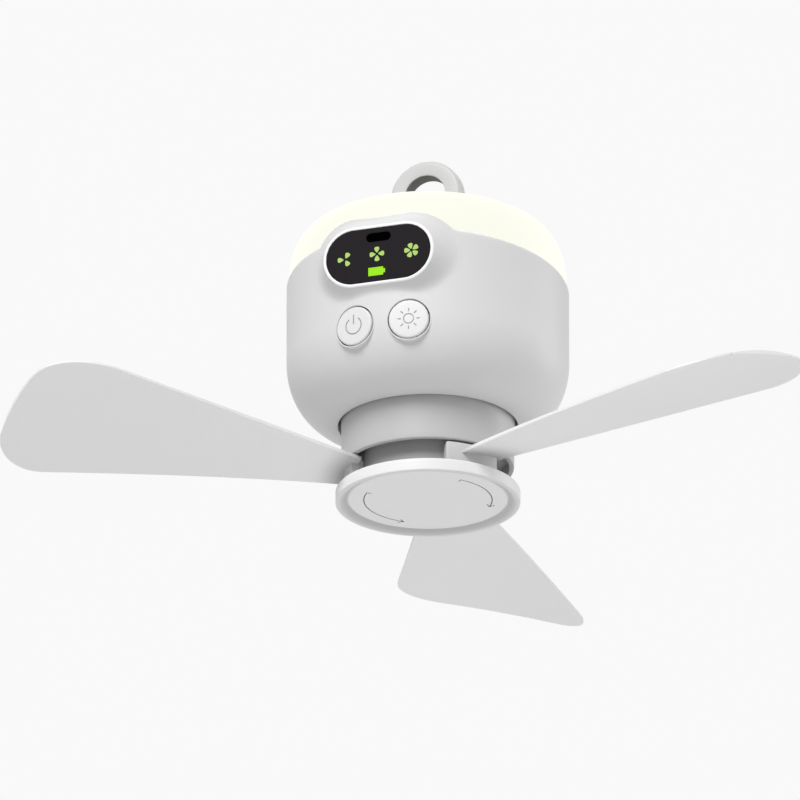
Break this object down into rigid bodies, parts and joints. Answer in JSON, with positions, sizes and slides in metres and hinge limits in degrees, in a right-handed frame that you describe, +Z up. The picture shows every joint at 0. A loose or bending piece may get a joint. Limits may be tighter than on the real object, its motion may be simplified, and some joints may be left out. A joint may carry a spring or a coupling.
{
  "type": "hanging camping fan",
  "caption": "Battery camping fan that hangs from a folding ring, with a lamp dome, display, two buttons, and bladed rotor under a bayonet lock cap.",
  "frame": {"origin": "centre of the hanging eye, where the hook goes through", "axes": "+Z up along the motor's axis, -Y to the display and buttons, +Y through the hanging eye and to the charging socket at the back"},
  "size_m": [0.3167, 0.3041, 0.1448],
  "materials": {
    "shell_white": "satin white moulded shell",
    "neck_white": "satin white",
    "blade_white": "fine matt white",
    "ring_grey": "satin light grey",
    "dome_opal": "opal diffuser, lit warm",
    "display_black": "dark tinted window",
    "inner_white": "white reflector",
    "lamp_yellow": "lamp chips",
    "icon_green": "green indicator chips",
    "board_green": "circuit board",
    "inner_black": "black moulding",
    "cell_blue": "sleeved cells",
    "bright_steel": "bright steel",
    "motor_alloy": "cast alloy",
    "motor_steel": "motor steel",
    "winding_copper": "enamelled winding"
  },
  "bodies": {
    "hanger": {"hang_ring": "ring_grey", "ring_pin": "bright_steel"},
    "housing": {"hanger_seat": "ring_grey", "hanger_screw": "bright_steel", "light_dome": "dome_opal", "light_plate": "inner_white", "light_board": "inner_white", "lamp_chips": "lamp_yellow", "light_plate_screws": "bright_steel", "lower_shell": "shell_white", "display_lens": "display_black", "receiver_window": "display_black", "display_light_box": "inner_white", "front_board": "board_green", "display_leds": "icon_green", "remote_receiver": "inner_black", "tact_switches": "inner_black", "front_board_screws": "bright_steel", "main_board": "board_green", "usb_c_socket": "bright_steel", "main_board_screws": "bright_steel", "battery_tray": "inner_black", "battery_cells": "cell_blue", "cell_straps": "bright_steel", "tray_screws": "bright_steel", "motor_cover": "neck_white", "motor_plate": "motor_alloy", "upper_bearing": "bright_steel", "lower_bearing": "bright_steel", "stator_core": "motor_steel", "stator_coils": "winding_copper", "motor_screws": "bright_steel"},
    "power_button": {"power_button": "shell_white"},
    "light_button": {"light_button": "shell_white"},
    "rotor": {"motor_shaft": "bright_steel", "shaft_clip": "bright_steel", "rotor_can": "motor_steel", "rotor_magnets": "motor_steel", "rotor_hub": "neck_white", "hub_screws": "bright_steel", "blade_1": "blade_white", "blade_2": "blade_white", "blade_3": "blade_white"},
    "lock_cap": {"lock_cap": "shell_white"}
  },
  "joints": [
    {"name": "ring_fold", "type": "hinge", "parent": "hanger", "child": "housing", "pos_m": [0, 0, -0.0072], "axis": [1, 0, 0], "range_deg": [-90, 90]},
    {"name": "rotor_spin", "type": "hinge", "parent": "housing", "child": "rotor", "pos_m": [0, 0, -0.11], "axis": [0, 0, 1], "continuous": true},
    {"name": "lock_cap_turn", "type": "hinge", "parent": "rotor", "child": "lock_cap", "pos_m": [0, 0, -0.1222], "axis": [0, 0, 1], "range_deg": [0, 35]},
    {"name": "power_button_press", "type": "slide", "parent": "housing", "child": "power_button", "axis": [0.2045, 0.9789, 0], "range_m": [0, 0.0008], "stiffness_N_per_m": 2000},
    {"name": "light_button_press", "type": "slide", "parent": "housing", "child": "light_button", "axis": [-0.2045, 0.9789, 0], "range_m": [0, 0.0008], "stiffness_N_per_m": 2000}
  ]
}
